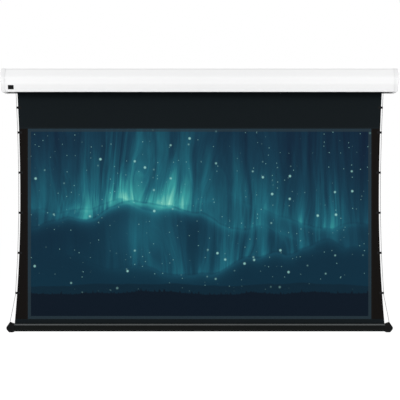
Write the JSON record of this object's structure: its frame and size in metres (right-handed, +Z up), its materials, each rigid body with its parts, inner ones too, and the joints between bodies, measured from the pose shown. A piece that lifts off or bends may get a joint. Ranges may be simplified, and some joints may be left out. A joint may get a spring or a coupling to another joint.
{
  "type": "projector screen",
  "caption": "Motor-driven roll-down projection screen: white wall case, black-bordered cloth held flat by side cords, and a black bottom bar.",
  "frame": {"origin": "on the back of the case where it meets the wall, at the middle of the case's length and height", "axes": "+X along the screen, +Y into the wall, so -Y faces the audience, +Z up"},
  "size_m": [2.336, 0.1392, 1.558],
  "materials": {
    "case_paint": "satin",
    "white_plastic": "satin",
    "zinc_steel": "satin",
    "bare_aluminium": "satin",
    "motor_housing": "satin",
    "black_plastic": "satin",
    "grey_plastic": "matte",
    "bar_paint": "satin",
    "black_cloth": "matte",
    "mask_cloth": "matte",
    "picture_cloth": "matte",
    "tab_tape": "matte",
    "cord": "matte"
  },
  "bodies": {
    "case": {"case_shell": "case_paint", "end_cap_left": "white_plastic", "end_cap_right": "white_plastic", "motor_end_plate": "case_paint", "idler_end_plate": "case_paint", "end_cap_screw_left_1": "zinc_steel", "end_cap_screw_left_2": "zinc_steel", "end_cap_screw_left_3": "zinc_steel", "end_cap_screw_right_1": "zinc_steel", "end_cap_screw_right_2": "zinc_steel", "end_cap_screw_right_3": "zinc_steel", "hanger_plate_left": "zinc_steel", "hanger_plate_right": "zinc_steel", "hanger_screw_left": "zinc_steel", "hanger_screw_right": "zinc_steel", "motor_head": "grey_plastic", "motor_body": "motor_housing", "motor_lead": "black_plastic", "power_inlet": "black_plastic", "receiver_box": "grey_plastic", "idler_bearing": "zinc_steel", "idler_housing": "grey_plastic", "black_drop": "black_cloth", "viewing_surface": "picture_cloth", "masking_left": "mask_cloth", "masking_right": "mask_cloth", "masking_bottom": "black_cloth", "tab_left_1": "tab_tape", "tab_left_2": "tab_tape", "tab_left_3": "tab_tape", "tab_left_4": "tab_tape", "tab_left_5": "tab_tape", "tab_left_6": "tab_tape", "tab_right_1": "tab_tape", "tab_right_2": "tab_tape", "tab_right_3": "tab_tape", "tab_right_4": "tab_tape", "tab_right_5": "tab_tape", "tab_right_6": "tab_tape", "tension_cord_left": "cord", "tension_cord_right": "cord"},
    "roller": {"roller_tube": "bare_aluminium", "fabric_roll": "black_cloth", "cord_spool_left": "black_plastic", "cord_spool_right": "black_plastic", "motor_crown": "black_plastic", "drive_wheel": "black_plastic", "motor_shaft": "zinc_steel", "idler_plug": "black_plastic", "idler_pin": "zinc_steel"},
    "bottom_bar": {"bottom_bar": "bar_paint", "fabric_spline": "grey_plastic", "bar_end_cap_left": "black_plastic", "bar_end_cap_right": "black_plastic", "bar_cap_screw_left": "zinc_steel", "bar_cap_screw_right": "zinc_steel"},
    "left_adjuster": {"tension_adjuster_left": "black_plastic"},
    "right_adjuster": {"tension_adjuster_right": "black_plastic"}
  },
  "joints": [
    {"name": "bar_lift", "type": "slide", "parent": "case", "child": "bottom_bar", "axis": [0, 0, 1], "range_m": [0, 1.36], "deforming": ["black_drop", "viewing_surface", "masking_left", "masking_right", "masking_bottom", "tab_left_1", "tab_left_2", "tab_left_3", "tab_left_4", "tab_left_5", "tab_left_6", "tab_right_1", "tab_right_2", "tab_right_3", "tab_right_4", "tab_right_5", "tab_right_6", "tension_cord_left", "tension_cord_right"]},
    {"name": "roller_turn", "type": "hinge", "parent": "case", "child": "roller", "pos_m": [0, -0.07, 0.005], "axis": [1, 0, 0], "range_deg": [0, 1835]},
    {"name": "left_tension_turn", "type": "hinge", "parent": "bottom_bar", "child": "left_adjuster", "pos_m": [-1.1175, -0.0289, -1.4628], "axis": [0, 1, 0], "continuous": true},
    {"name": "right_tension_turn", "type": "hinge", "parent": "bottom_bar", "child": "right_adjuster", "pos_m": [1.1175, -0.0289, -1.4628], "axis": [0, 1, 0], "continuous": true}
  ],
  "couplings": [
    {"joint": "roller_turn", "follows": "bar_lift", "rad_per_m": 23.5}
  ]
}
